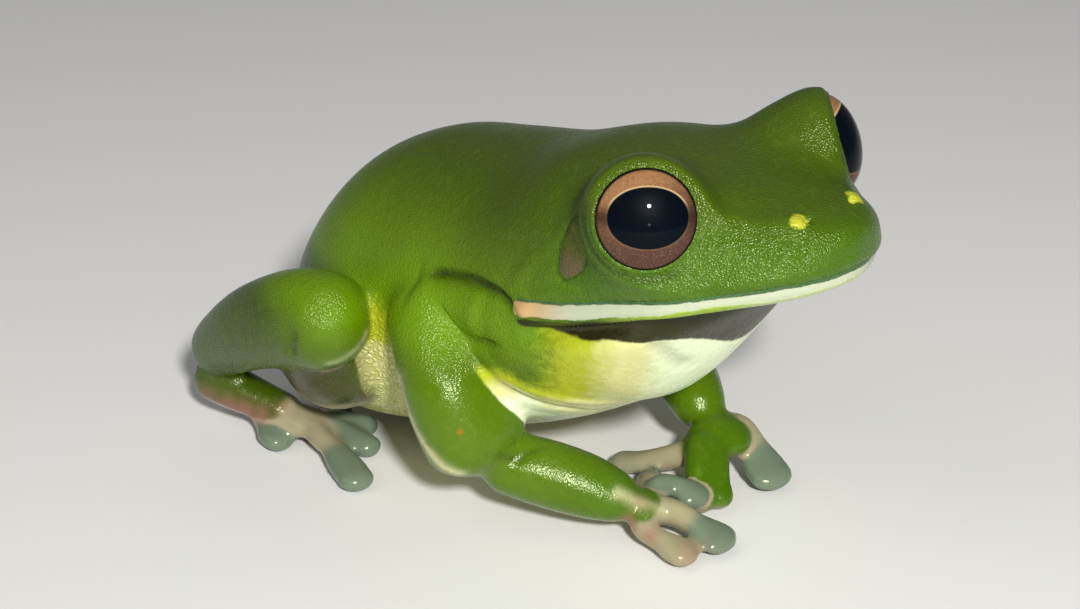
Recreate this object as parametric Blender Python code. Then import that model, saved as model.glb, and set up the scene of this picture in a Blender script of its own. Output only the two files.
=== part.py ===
"""A crouching white-lipped tree frog, life size, as solid sub-parts parted by thin cuts.

Frame: the frog faces -Y, its left side is +X, it sits on z = 0.
The tables measure the frog in millimetres; MM turns them into metres.
"""
import math

import bmesh
import bpy
import numpy as np
from mathutils import Matrix, Vector

MM = 0.001
GAP = 0.3               # clearance between neighbouring sub-parts
SIDES_BODY = 28         # faces round the head and trunk
RINGS_BODY = 34         # rings from snout to vent
SIDES_LIMB = 12
SIDES_DIGIT = 10
FUSE_VOXEL = 0.3        # grid on which a palm and its digits are fused
HAND_TRIANGLES = 480
FOOT_TRIANGLES = 540
NECK_Y = -10.0          # cut between head and trunk

EYE_CENTRE = (14.45, -29.16, 43.9)
EYE_AXIS = (0.656, -0.699, 0.286)
EYE_RADIUS = 5.6
EYE_HALF_LENGTH = 3.7   # along the gaze
BROW_CENTRE = (13.04, -27.66, 43.28)
BROW_RADIUS = 6.1

EAR_CENTRE = (16.6, -21.0, 38.4)
EAR_AXIS = (0.92, 0.12, 0.36)
EAR_RADIUS = 2.7
EAR_HALF_THICKNESS = 0.9

MOUTH_CORNER = (-14.7, 31.1)    # y and z of the corner of the mouth
MOUTH_SLOPE = -0.256            # rise of the mouth line for each millimetre forward

# Cross-sections from snout to vent: y, half width, top, bottom, level of the widest
# point, and how square the upper and the lower half are (2 is an ellipse).
BODY_SECTIONS = [
    (-44.9, 0.6, 41.8, 39.6, 41.0, 2.0, 2.0),
    (-43.8, 4.6, 43.2, 37.4, 40.2, 2.0, 2.3),
    (-41.0, 8.6, 44.3, 35.7, 39.0, 2.1, 2.6),
    (-36.5, 12.0, 45.1, 34.2, 37.2, 2.2, 2.8),
    (-33.6, 13.7, 45.4, 33.0, 35.9, 2.3, 2.6),
    (-31.6, 14.7, 45.6, 31.2, 35.1, 2.3, 2.2),
    (-29.3, 15.5, 45.8, 27.6, 34.3, 2.4, 1.9),
    (-26.8, 16.3, 46.0, 22.6, 33.4, 2.5, 1.8),
    (-23.0, 17.1, 46.0, 17.6, 32.2, 2.5, 1.8),
    (-18.5, 17.8, 45.7, 15.0, 31.2, 2.5, 1.9),
    (-12.0, 17.8, 44.6, 11.2, 29.2, 2.4, 2.2),
    (-3.0, 17.4, 41.6, 7.0, 25.6, 2.2, 2.3),
    (7.0, 19.0, 39.6, 4.2, 20.6, 2.1, 2.3),
    (16.0, 19.4, 37.6, 2.2, 17.2, 2.1, 2.3),
    (23.0, 17.6, 33.8, 2.2, 15.4, 2.1, 2.2),
    (28.6, 13.8, 26.6, 3.2, 13.6, 2.1, 2.1),
    (33.4, 7.8, 17.2, 5.6, 11.4, 2.0, 2.0),
    (36.0, 0.8, 11.2, 10.0, 10.6, 2.0, 2.0),
]

FORWARD = (0, -1, 0)
UP = (0, 0, 1)

# Each limb: path points, half widths, half thicknesses, reference for the thickness, rings.
LIMBS = {
    "upper_arm_right": (
        [(-13.5, 3, 26), (-16.8, 0.6, 23.5), (-18.2, -4, 17.5), (-16.6, -6.6, 11.5), (-15.4, -7.6, 7.8)],
        [3.6, 4.4, 5.5, 6.2, 4.8], [3.8, 4.6, 5.0, 5.2, 4.2], FORWARD, 13),
    "forearm_right": (
        [(-15.8, -6.6, 9.0), (-14.0, -9.6, 8.2), (-11.2, -13.2, 7.0), (-8.4, -17.2, 5.7),
         (-5.8, -21.4, 4.2)],
        [3.4, 3.7, 3.9, 3.7, 2.6], [3.4, 3.6, 3.8, 3.4, 2.0], UP, 12),
    "upper_arm_left": (
        [(12, 3, 24), (16.5, 1, 20.5), (17.6, -3, 14), (17.0, -6, 9.6)],
        [3.6, 5.0, 5.2, 4.4], [3.8, 5.0, 5.0, 4.2], FORWARD, 13),
    "forearm_left": (
        [(16.6, -5.0, 8.8), (15.4, -9.2, 8.4), (13.0, -13.2, 7.8), (11.0, -16.4, 6.6)],
        [3.6, 3.8, 3.4, 2.6], [3.6, 3.7, 3.2, 2.2], UP, 12),
    "thigh_right": (
        [(-5, 30, 12.5), (-11, 25, 12.6), (-17, 16.5, 13.8), (-20.8, 9.8, 18.2)],
        [6, 7.2, 6.4, 4.5], [6, 7.2, 6.6, 4.8], UP, 12),
    "shank_right": (
        [(-22.4, 5.8, 21.8), (-23.4, 13, 21.7), (-23.4, 22, 17.9), (-22.4, 30, 12.8), (-21.8, 34.8, 8.8)],
        [4.8, 5.4, 5.0, 4.2, 3.2], [5.4, 5.8, 5.2, 4.2, 3.3], UP, 14),
    "tarsus_right": (
        [(-22.6, 36.6, 7.0), (-21.4, 32, 5.6), (-19.4, 27.4, 4.2), (-17.6, 23.6, 3.2)],
        [2.8, 2.7, 2.5, 2.2], [3.4, 2.8, 2.2, 1.7], UP, 11),
}

# Palms and soles: path, half widths, half thicknesses.
PALMS = {
    "hand_right": ([(-6.6, -19.6, 4.2), (-4.6, -21.8, 3.4), (-3.6, -23.4, 2.6)],
                   [2.4, 3.4, 3.0], [1.9, 1.9, 1.5]),
    "hand_left": ([(12, -16, 6.6), (10.6, -18.6, 5.4), (9.0, -20.4, 4.0)],
                  [2.6, 3.8, 3.2], [2.0, 1.9, 1.5]),
    "foot_right": ([(-18.4, 25, 3.2), (-17.2, 22, 2.7), (-16.0, 19.6, 2.2)],
                   [2.2, 2.9, 2.4], [1.7, 1.5, 1.2]),
}

# Digits: path from the palm to the disc, half width of the shaft, half width of the disc.
DIGITS = {
    "hand_right": [
        ([(-3.2, -19.6, 3.6), (-0.4, -17.4, 3.2), (2.2, -15.8, 2.2), (3.6, -14.6, 1.1)], 1.0, 1.7),
        ([(-2.6, -20.2, 4.0), (-0.2, -20.2, 4.2), (1.2, -21.8, 3.6), (1.5, -24.6, 2.6)], 1.4, 2.1),
        ([(-3.8, -21.4, 3.4), (-2.6, -24.8, 3.0), (-1.9, -27.8, 2.0), (-1.1, -31.3, 1.1)], 1.6, 2.7),
        ([(-6.4, -21.6, 3.2), (-7.0, -24.0, 2.4), (-6.6, -26.8, 1.7), (-6.1, -30.2, 1.1)], 1.4, 2.2),
    ],
    "hand_left": [
        ([(9.6, -18.2, 4.6), (6.8, -15.6, 3.4), (5.0, -12.0, 1.9), (3.4, -8.4, 1.1)], 1.6, 1.9),
        ([(9.2, -17.4, 6.0), (6.0, -19.9, 4.4), (4.0, -21.9, 2.6), (2.6, -24.0, 1.1)], 1.7, 1.8),
        ([(10.4, -18.4, 5.8), (8.0, -20.8, 4.2), (6.0, -22.8, 2.6), (4.6, -24.8, 1.1)], 1.6, 1.7),
        ([(12.4, -17.2, 5.6), (14.6, -18.8, 5.0), (14.1, -22.0, 3.0), (12.7, -26.5, 1.1)], 1.9, 2.8),
    ],
    "foot_right": [
        ([(-15.0, 23.4, 2.6), (-13.4, 23.6, 2.0), (-11.8, 23.6, 1.5), (-9.8, 23.2, 1.0)], 1.1, 1.6),
        ([(-14.8, 22, 2.4), (-13.2, 20.8, 2.0), (-12.0, 19.4, 1.6), (-10.4, 17.6, 1.0)], 1.2, 1.8),
        ([(-16.0, 21, 2.4), (-15.2, 18.6, 2.0), (-14.8, 16.4, 1.6), (-14.4, 13.2, 1.0)], 1.3, 1.8),
        ([(-17.6, 22, 2.8), (-18.6, 18.4, 2.4), (-19.4, 14.2, 1.9), (-21.3, 7.9, 1.0)], 1.4, 2.2),
        ([(-18.6, 27.4, 3.0), (-20.2, 27.6, 2.3), (-21.1, 25.0, 1.7), (-20.7, 21.8, 1.0)], 1.2, 2.2),
    ],
}
DISC_HALF_THICKNESS = 1.2

GREEN = (0.16, 0.36, 0.03)
PALE_GREEN = (0.36, 0.48, 0.12)
CREAM = (0.72, 0.70, 0.52)
GREY = (0.32, 0.38, 0.36)
OLIVE = (0.20, 0.30, 0.08)
EYE_COPPER = (0.30, 0.14, 0.06)


def curve_through(rows, t):
    """Catmull-Rom curve through rows of values, read at t from 0 to 1."""
    rows = np.asarray(rows, float)
    if rows.ndim == 1:
        rows = rows[:, None]
    count = len(rows)
    ends = np.vstack([2 * rows[0] - rows[1], rows, 2 * rows[-1] - rows[-2]])
    place = np.clip(np.asarray(t, float), 0, 1) * (count - 1)
    first = np.minimum(place.astype(int), count - 2)
    f = (place - first)[:, None]
    a, b, c, d = ends[first], ends[first + 1], ends[first + 2], ends[first + 3]
    return 0.5 * (2 * b + (c - a) * f + (2 * a - 5 * b + 4 * c - d) * f**2 + (3 * b - a - 3 * c + d) * f**3)


def unit(v):
    v = np.asarray(v, float)
    return v / np.linalg.norm(v, axis=-1, keepdims=True)


def body_rings(grow=0.0):
    """Super-elliptical rings from snout to vent, closer together near both ends."""
    rows = np.array(BODY_SECTIONS)
    even = np.linspace(0, 1, RINGS_BODY + 2)[1:-1]
    t = 0.5 * even + 0.5 * (0.5 - 0.5 * np.cos(even * math.pi))
    y, half, top, bottom, level, square_up, square_down = curve_through(rows, t).T
    angle = np.linspace(0, 2 * math.pi, SIDES_BODY, endpoint=False)
    c, s = np.cos(angle), np.sin(angle)
    power = 2 / np.where(s[None] >= 0, square_up[:, None], square_down[:, None])
    reach = np.where(s[None] >= 0, (top - level)[:, None], (level - bottom)[:, None]) + grow
    x = (half[:, None] + grow) * np.sign(c) * np.abs(c) ** power
    z = level[:, None] + reach * np.sign(s) * np.abs(s) ** power
    rings = np.stack([x, np.broadcast_to(y[:, None], x.shape), z], -1)
    tips = [(0, rows[0, 0] - grow, rows[0, 4]), (0, rows[-1, 0] + grow, rows[-1, 4])]
    return rings, tips


def limb_rings(path, widths, heights, reference, rings, sides, grow=0.0):
    """Elliptical rings carried along a path, with a rounded end on each side."""
    even = np.linspace(0, 1, rings + 2)[1:-1]
    t = 0.35 * even + 0.65 * (0.5 - 0.5 * np.cos(even * math.pi))
    centre = curve_through(path, t)
    half_width = curve_through(widths, t)[:, 0]
    half_height = curve_through(heights, t)[:, 0]
    fine = np.linspace(0, 1, 400)
    steps = np.linalg.norm(np.diff(curve_through(path, fine), axis=0), axis=1)
    lengths = np.concatenate([[0], np.cumsum(steps)])
    along = np.interp(t, fine, lengths)
    start_round = (half_width[0] + half_height[0]) / 2
    end_round = (half_width[-1] + half_height[-1]) / 2
    before = np.clip((start_round - along) / start_round, 0, 1)
    after = np.clip((along - lengths[-1] + end_round) / end_round, 0, 1)
    taper = np.sqrt(1 - before**2) * np.sqrt(1 - after**2)
    step = 0.001
    tangent = unit(curve_through(path, np.clip(t + step, 0, 1)) - curve_through(path, np.clip(t - step, 0, 1)))
    side = unit(np.cross(tangent, np.asarray(reference, float)))
    normal = np.cross(side, tangent)
    angle = np.linspace(0, 2 * math.pi, sides, endpoint=False)
    rings_xyz = (centre[:, None]
                 + side[:, None] * (taper * half_width + grow)[:, None, None] * np.cos(angle)[None, :, None]
                 + normal[:, None] * (taper * half_height + grow)[:, None, None] * np.sin(angle)[None, :, None])
    tips = [np.array(path[0]) - tangent[0] * grow, np.array(path[-1]) + tangent[-1] * grow]
    return rings_xyz, tips


def lofted(name, rings, tips):
    """Closed mesh: rings bridged one to the next, with a fan at each tip."""
    bm = bmesh.new()
    loops = []
    for ring in rings:
        verts = [bm.verts.new(Vector(point) * MM) for point in ring]
        loops.append(verts)
    count = len(loops[0])
    for near, far in zip(loops, loops[1:]):
        for i in range(count):
            j = (i + 1) % count
            bm.faces.new((near[i], near[j], far[j], far[i]))
    for verts, tip in ((loops[0], tips[0]), (loops[-1], tips[1])):
        cap = bm.faces.new(verts)
        fan = bmesh.ops.poke(bm, faces=[cap])
        fan["verts"][0].co = Vector(tip) * MM
    bmesh.ops.recalc_face_normals(bm, faces=bm.faces)
    mesh = bpy.data.meshes.new(name)
    bm.to_mesh(mesh)
    bm.free()
    return mesh


def ellipsoid(name, centre, axis, half_length, radius, segments=16, rings=10):
    """Sphere stretched along one axis, its poles on that axis."""
    bm = bmesh.new()
    bmesh.ops.create_uvsphere(bm, u_segments=segments, v_segments=rings, radius=MM)
    turn = Vector(axis).to_track_quat("Z", "Y").to_matrix().to_4x4()
    stretch = Matrix.Diagonal((radius, radius, half_length, 1))
    bm.transform(Matrix.Translation(Vector(centre) * MM) @ turn @ stretch)
    mesh = bpy.data.meshes.new(name)
    bm.to_mesh(mesh)
    bm.free()
    return mesh


def box(name, low, high):
    """Plain box between two corners."""
    bm = bmesh.new()
    bmesh.ops.create_cube(bm, size=1.0)
    low, high = Vector(low) * MM, Vector(high) * MM
    bm.transform(Matrix.Translation((low + high) / 2) @ Matrix.Diagonal((*(high - low), 1)))
    mesh = bpy.data.meshes.new(name)
    bm.to_mesh(mesh)
    bm.free()
    return mesh


def mirrored(mesh, name):
    """Copy of a mesh on the frog's other side."""
    copy = mesh.copy()
    copy.name = name
    copy.transform(Matrix.Diagonal((-1, 1, 1, 1)))
    copy.flip_normals()
    return copy


def fused(name, meshes, triangles):
    """One closed mesh round several that run into each other, thinned to a number of triangles."""
    bm = bmesh.new()
    for mesh in meshes:
        bm.from_mesh(mesh)
    joined = bpy.data.meshes.new(name)
    bm.to_mesh(joined)
    bm.free()
    obj = bpy.data.objects.new(name, joined)
    bpy.context.collection.objects.link(obj)
    remesh = obj.modifiers.new("fuse", "REMESH")
    remesh.mode = "VOXEL"
    remesh.voxel_size = FUSE_VOXEL * MM
    smooth = obj.modifiers.new("smooth", "SMOOTH")
    smooth.factor = 0.5
    smooth.iterations = 3
    fine = evaluated_mesh(obj)
    thin = obj.modifiers.new("thin", "DECIMATE")
    thin.ratio = triangles / (2 * len(fine.polygons))
    result = evaluated_mesh(obj)
    bpy.data.objects.remove(obj)
    return result


def evaluated_mesh(obj):
    bpy.context.view_layer.update()
    depsgraph = bpy.context.evaluated_depsgraph_get()
    return bpy.data.meshes.new_from_object(obj.evaluated_get(depsgraph))


def guide(mesh):
    """Cutter or filler object: it shapes other objects and isn't part of the model."""
    obj = bpy.data.objects.new(mesh.name, mesh)
    obj.hide_render = True
    obj.display_type = "WIRE"
    bpy.context.collection.objects.link(obj)
    return obj


def boolean(obj, other, operation):
    modifier = obj.modifiers.new(other.name, "BOOLEAN")
    modifier.operation = operation
    modifier.solver = "EXACT"
    modifier.object = other


def largest_body(mesh):
    """Deletes every loose piece of a mesh but the one with most faces."""
    bm = bmesh.new()
    bm.from_mesh(mesh)
    left = set(bm.faces)
    bodies = []
    while left:
        stack = [left.pop()]
        body = []
        while stack:
            face = stack.pop()
            body.append(face)
            for edge in face.edges:
                for other in edge.link_faces:
                    if other in left:
                        left.remove(other)
                        stack.append(other)
        bodies.append(body)
    bodies.sort(key=len)
    for body in bodies[:-1]:
        bmesh.ops.delete(bm, geom=body, context="FACES")
    bmesh.ops.remove_doubles(bm, verts=bm.verts, dist=0.02 * MM)
    bmesh.ops.triangulate(bm, faces=bm.faces)
    bm.to_mesh(mesh)
    bm.free()


def paint(name, colour, roughness):
    material = bpy.data.materials.new(name)
    material.use_nodes = True
    shader = material.node_tree.nodes["Principled BSDF"]
    shader.inputs["Base Color"].default_value = (*colour, 1.0)
    shader.inputs["Roughness"].default_value = roughness
    shader.inputs["Metallic"].default_value = 0.0
    return material


def sub_part(name, mesh, colour, roughness, joined=(), kept=(), removed=()):
    """Named object: a mesh with others joined to it, trimmed to guides and cut by others."""
    obj = bpy.data.objects.new(name, mesh)
    bpy.context.collection.objects.link(obj)
    for other in joined:
        boolean(obj, other, "UNION")
    for other in kept:
        boolean(obj, other, "INTERSECT")
    for other in removed:
        boolean(obj, other, "DIFFERENCE")
    result = evaluated_mesh(obj)
    result.name = name
    obj.modifiers.clear()
    obj.data = result
    largest_body(result)
    result.materials.clear()
    result.materials.append(paint(name + "_skin", colour, roughness))
    result.shade_smooth()
    result.set_sharp_from_angle(angle=math.radians(50))
    return obj


def mirror_part(obj):
    """The same sub-part on the frog's left side."""
    name = obj.name.replace("_right", "_left")
    twin = bpy.data.objects.new(name, mirrored(obj.data, name))
    bpy.context.collection.objects.link(twin)
    return twin


def limb_guides():
    """Limb meshes as modelled, and guides grown by the gap, by name."""
    plain, clearance = {}, {}
    for name, (path, widths, heights, reference, rings) in LIMBS.items():
        shape = (path, widths, heights, reference, rings, SIDES_LIMB)
        plain[name] = lofted(name + "_form", *limb_rings(*shape))
        clearance[name] = guide(lofted(name + "_clearance", *limb_rings(*shape, grow=GAP)))
    return plain, clearance


def digit_shape(path, shaft, disc):
    """Half widths and half thicknesses of a digit that ends in a flat round disc."""
    widths = [shaft, shaft, 0.95 * shaft, 0.95 * disc, disc]
    heights = [shaft, 0.95 * shaft, 0.85 * shaft, DISC_HALF_THICKNESS, DISC_HALF_THICKNESS]
    return path, widths, heights, UP, 12, SIDES_DIGIT


def palm_guides(name, grow=0.0):
    """Palm or sole and its digits, as separate meshes, grown by the same amount."""
    path, widths, heights = PALMS[name]
    parts = [lofted(name + "_palm", *limb_rings(path, widths, heights, UP, 8, SIDES_LIMB, grow=grow))]
    for number, digit in enumerate(DIGITS[name], 1):
        shape = limb_rings(*digit_shape(*digit), grow=grow)
        parts.append(lofted(f"{name}_digit_{number}", *shape))
    return parts


def mouth_wedge(top_gap, back_gap):
    """Space below the mouth line and ahead of the neck, lowered and shortened by two gaps."""
    corner_y, corner_z = MOUTH_CORNER
    wide, low, front = 60.0, -5.0, -60.0
    back = NECK_Y - back_gap
    mesh = box("below_mouth", (-wide, front, low), (wide, back, 50.0))
    for vertex in mesh.vertices:
        if vertex.co.z > 0.02:
            y = vertex.co.y / MM
            vertex.co.z = (corner_z + MOUTH_SLOPE * (y - corner_y) - top_gap) * MM
    return mesh


def build_head_and_trunk():
    """Head, lower jaw and trunk cut from one body, with eyes and eardrums let into the head."""
    form = lofted("body_form", *body_rings())
    eye_guides, ear_guides, brow_guides = [], [], []
    for side, sign in (("left", 1), ("right", -1)):
        flip = np.array([sign, 1, 1])
        eye = np.array(EYE_CENTRE) * flip
        gaze = np.array(EYE_AXIS) * flip
        ear = np.array(EAR_CENTRE) * flip
        ear_axis = np.array(EAR_AXIS) * flip
        brow = np.array(BROW_CENTRE) * flip
        sub_part("eye_" + side, ellipsoid("eye_form", eye, gaze, EYE_HALF_LENGTH, EYE_RADIUS), EYE_COPPER, 0.1)
        sub_part("eardrum_" + side,
                 ellipsoid("ear_form", ear, ear_axis, EAR_HALF_THICKNESS, EAR_RADIUS, 12, 6), OLIVE, 0.5)
        eye_guides.append(guide(ellipsoid("eye_socket_" + side, eye, gaze, EYE_HALF_LENGTH + GAP,
                                          EYE_RADIUS + GAP)))
        ear_guides.append(guide(ellipsoid("ear_seat_" + side, ear, ear_axis, EAR_HALF_THICKNESS + GAP,
                                          EAR_RADIUS + GAP, 12, 6)))
        brow_guides.append(guide(ellipsoid("brow_" + side, brow, gaze, BROW_RADIUS, BROW_RADIUS)))
    wide = 60.0
    ahead = guide(box("ahead_of_neck", (-wide, -wide, -5), (wide, NECK_Y - GAP / 2, wide)))
    behind = guide(box("behind_neck", (-wide, NECK_Y + GAP / 2, -5), (wide, wide, wide)))
    mouth = guide(mouth_wedge(-GAP / 2, -1.0))
    jaw = guide(mouth_wedge(GAP / 2, GAP / 2))
    sub_part("head", form.copy(), GREEN, 0.4, joined=brow_guides, kept=[ahead],
             removed=[mouth] + eye_guides + ear_guides)
    sub_part("lower_jaw", form.copy(), CREAM, 0.4, kept=[jaw], removed=ear_guides)
    sub_part("trunk", form.copy(), PALE_GREEN, 0.4, kept=[behind])


def build_arms(plain, clearance, body, floor):
    """Both arms: each sub-part gives way to the body and to the one nearer the body."""
    for side in ("right", "left"):
        upper, fore = "upper_arm_" + side, "forearm_" + side
        sub_part(upper, plain[upper], GREEN, 0.35, removed=[body])
        sub_part(fore, plain[fore], GREEN, 0.35, removed=[body, clearance[upper]])
        hand = fused("hand_" + side + "_form", palm_guides("hand_" + side), HAND_TRIANGLES)
        removed = [body, clearance[upper], clearance[fore], floor]
        if side == "left":
            grown = palm_guides("hand_right", grow=GAP + 0.1)
            removed.append(guide(fused("hand_clearance", grown, HAND_TRIANGLES)))
        sub_part("hand_" + side, hand, GREY, 0.3, removed=removed)


def build_legs(plain, clearance, body, floor):
    """The right leg, each sub-part cut by the ones nearer the body, and its mirror image."""
    nearer = [body]
    for name, colour in (("thigh_right", OLIVE), ("shank_right", GREEN), ("tarsus_right", GREEN)):
        limb = sub_part(name, plain[name], colour, 0.35, removed=nearer + [floor])
        mirror_part(limb)
        nearer.append(clearance[name])
    foot = fused("foot_right_form", palm_guides("foot_right"), FOOT_TRIANGLES)
    mirror_part(sub_part("foot_right", foot, GREY, 0.3, removed=nearer + [floor]))


def centre_on_origin():
    """Hangs every object on one empty, placed so that the model's box is centred on x and y."""
    frog = bpy.data.objects.new("tree_frog", None)
    bpy.context.collection.objects.link(frog)
    shown = [obj for obj in bpy.data.objects if obj.type == "MESH" and not obj.hide_render]
    corners = np.array([vertex.co for obj in shown for vertex in obj.data.vertices])
    middle = (corners.min(axis=0) + corners.max(axis=0)) / 2
    for obj in bpy.data.objects:
        if obj is not frog:
            obj.parent = frog
    frog.location = (-middle[0], -middle[1], 0.0)


def main():
    for obj in list(bpy.data.objects):
        bpy.data.objects.remove(obj, do_unlink=True)
    build_head_and_trunk()
    plain, clearance = limb_guides()
    body = guide(lofted("body_clearance", *body_rings(grow=GAP)))
    floor = guide(box("below_floor", (-60, -60, -20), (60, 60, 0)))
    build_arms(plain, clearance, body, floor)
    build_legs(plain, clearance, body, floor)
    centre_on_origin()


main()
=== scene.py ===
import math

import bmesh
import bpy
import numpy as np
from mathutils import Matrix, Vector


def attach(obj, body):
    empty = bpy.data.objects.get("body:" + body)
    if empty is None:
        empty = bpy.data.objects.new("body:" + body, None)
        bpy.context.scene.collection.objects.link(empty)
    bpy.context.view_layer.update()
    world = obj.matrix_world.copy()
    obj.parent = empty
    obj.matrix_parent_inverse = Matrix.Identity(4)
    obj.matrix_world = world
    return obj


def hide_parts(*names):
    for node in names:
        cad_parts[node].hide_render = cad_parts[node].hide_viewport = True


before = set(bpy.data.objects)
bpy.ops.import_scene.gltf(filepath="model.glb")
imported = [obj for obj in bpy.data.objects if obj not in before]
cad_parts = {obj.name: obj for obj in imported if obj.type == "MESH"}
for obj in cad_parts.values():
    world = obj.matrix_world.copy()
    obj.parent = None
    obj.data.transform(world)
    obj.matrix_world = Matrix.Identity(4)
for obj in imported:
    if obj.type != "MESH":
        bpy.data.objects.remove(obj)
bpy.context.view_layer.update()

mm = 0.001


def nodePoints(node):
    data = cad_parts[node].data
    points = np.empty(len(data.vertices) * 3)
    data.vertices.foreach_get("co", points)
    return points.reshape(-1, 3) / mm


# the tables are in millimetres in the frog's own frame, where it faces -Y and z = 0 is the floor
shift = np.array((0, nodePoints("trunk")[:, 1].max() - 36.0, 0))


def unit(v):
    v = np.asarray(v, float)
    return v / np.maximum(np.linalg.norm(v, axis=-1, keepdims=True), 1e-12)


def ease(low, high, value):
    # 0 below low, 1 above high, 3t^2 - 2t^3 between
    t = np.clip((value - low) / (high - low), 0, 1)
    return t * t * (3 - 2 * t)


def bell(distance, width):
    # exp(-(distance / width)^2)
    return np.exp(-(distance / width) ** 2)


def curveThrough(rows, t):
    # Catmull-Rom cubic through the rows, read at t from 0 to 1
    rows = np.asarray(rows, float)
    rows = rows[:, None] if rows.ndim == 1 else rows
    ends = np.vstack([2 * rows[0] - rows[1], rows, 2 * rows[-1] - rows[-2]])
    place = np.clip(np.asarray(t, float), 0, 1) * (len(rows) - 1)
    first = np.minimum(place.astype(int), len(rows) - 2)
    f = (place - first)[:, None]
    a, b, c, d = ends[first], ends[first + 1], ends[first + 2], ends[first + 3]
    return 0.5 * (2 * b + (c - a) * f + (2 * a - 5 * b + 4 * c - d) * f**2 + (3 * b - a - 3 * c + d) * f**3)


def closedGrid(rings, firstTip, lastTip):
    # quads between neighbouring rings, and a fan of triangles from each end ring to its tip
    n, m = rings.shape[:2]
    points = np.vstack([rings.reshape(-1, 3), firstTip, lastTip])
    i = np.arange(n - 1)[:, None] * m
    j = np.arange(m)[None]
    k = (j + 1) % m
    quads = np.stack([i + j, i + k, i + m + k, i + m + j], -1).reshape(-1, 4)
    j, k = j[0], k[0]
    start = np.stack([np.full(m, n * m), k, j], -1)
    finish = np.stack([np.full(m, n * m + 1), (n - 1) * m + j, (n - 1) * m + k], -1)
    return points, quads, np.vstack([start, finish])


def meshFrom(name, shapes):
    # one mesh of several closed grids: each grid's corner numbers are moved past the points before it
    counts = np.cumsum([0] + [len(points) for points, quads, fans in shapes]).tolist()
    faces = []
    for count, (points, quads, fans) in zip(counts, shapes):
        faces += (quads + count).tolist() + (fans + count).tolist()
    mesh = bpy.data.meshes.new(name)
    mesh.from_pydata(np.vstack([points for points, quads, fans in shapes]).tolist(), [], faces)
    mesh.update()
    return mesh


def show(name, mesh):
    obj = bpy.data.objects.new(name, mesh)
    bpy.context.scene.collection.objects.link(obj)
    return obj


body = {
    "rings": 190,
    "sides": 150,
    # y, half width, top, bottom, level of the widest point, squareness above and below it
    "sections": [
        (-44.9, 0.6, 41.8, 39.6, 41, 2, 2), (-43.8, 4.6, 43.2, 37.4, 40.2, 2, 2.3),
        (-41, 8.6, 44.3, 35.7, 39, 2.1, 2.6), (-36.5, 12, 45.1, 34.2, 37.2, 2.2, 2.8),
        (-33.6, 13.7, 45.4, 33, 35.9, 2.3, 2.6), (-31.6, 14.7, 45.6, 31.2, 35.1, 2.3, 2.2),
        (-29.3, 15.5, 45.8, 27.6, 34.3, 2.4, 1.9), (-26.8, 16.3, 46, 22.6, 33.4, 2.5, 1.8),
        (-23, 17.1, 46, 17.6, 32.2, 2.5, 1.8), (-18.5, 17.8, 45.7, 15, 31.2, 2.5, 1.9),
        (-12, 17.8, 44.6, 11.2, 29.2, 2.4, 2.2), (-3, 17.4, 41.6, 7, 25.6, 2.2, 2.3),
        (7, 19, 39.6, 4.2, 20.6, 2.1, 2.3), (16, 19.4, 37.6, 2.2, 17.2, 2.1, 2.3),
        (23, 17.6, 33.8, 2.2, 15.4, 2.1, 2.2), (28.6, 13.8, 26.6, 3.2, 13.6, 2.1, 2.1),
        (33.4, 7.8, 17.2, 5.6, 11.4, 2, 2), (36, 0.8, 11.2, 10, 10.6, 2, 2),
    ],
}

forward, up = (0, -1, 0), (0, 0, 1)
limbs = {   # path, half widths, half thicknesses, direction that the thickness keeps to
    "upper_arm_right": (
        [(-13.5, 3, 26), (-16.8, 0.6, 23.5), (-18.2, -4, 17.5), (-16.6, -6.6, 11.5), (-15.4, -7.6, 7.8)],
        [3.6, 4.4, 5.5, 6.2, 4.8], [3.8, 4.6, 5, 5.2, 4.2], forward),
    "forearm_right": (
        [(-15.8, -6.6, 9), (-14, -9.6, 8.2), (-11.2, -13.2, 7), (-8.4, -17.2, 5.7), (-5.8, -21.4, 4.2)],
        [3.4, 3.7, 3.9, 3.7, 2.6], [3.4, 3.6, 3.8, 3.4, 2], up),
    "upper_arm_left": (
        [(12, 3, 24), (16.5, 1, 20.5), (17.6, -3, 14), (17, -6, 9.6)],
        [3.6, 5, 5.2, 4.4], [3.8, 5, 5, 4.2], forward),
    "forearm_left": (
        [(16.6, -5, 8.8), (15.4, -9.2, 8.4), (13, -13.2, 7.8), (11, -16.4, 6.6)],
        [3.6, 3.8, 3.4, 2.6], [3.6, 3.7, 3.2, 2.2], up),
    "thigh_right": (
        [(-5, 30, 12.5), (-11, 25, 12.6), (-17, 16.5, 13.8), (-20.8, 9.8, 18.2)],
        [6, 7.2, 6.4, 4.5], [6, 7.2, 6.6, 4.8], up),
    "shank_right": (
        [(-22.4, 5.8, 21.8), (-23.4, 13, 21.7), (-23.4, 22, 17.9), (-22.4, 30, 12.8), (-21.8, 34.8, 8.8)],
        [4.8, 5.4, 5, 4.2, 3.2], [5.4, 5.8, 5.2, 4.2, 3.3], up),
    "tarsus_right": (
        [(-22.6, 36.6, 7), (-21.4, 32, 5.6), (-19.4, 27.4, 4.2), (-17.6, 23.6, 3.2)],
        [2.8, 2.7, 2.5, 2.2], [3.4, 2.8, 2.2, 1.7], up),
}
palms = {   # path, half widths, half thicknesses
    "hand_right": (
        [(-6.6, -19.6, 4.2), (-4.6, -21.8, 3.4), (-3.6, -23.4, 2.6)], [2.4, 3.4, 3], [1.9, 1.9, 1.5]),
    "hand_left": (
        [(12, -16, 6.6), (10.6, -18.6, 5.4), (9, -20.4, 4)], [2.6, 3.8, 3.2], [2, 1.9, 1.5]),
    "foot_right": (
        [(-18.4, 25, 3.2), (-17.2, 22, 2.7), (-16, 19.6, 2.2)], [2.2, 2.9, 2.4], [1.7, 1.5, 1.2]),
}
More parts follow.
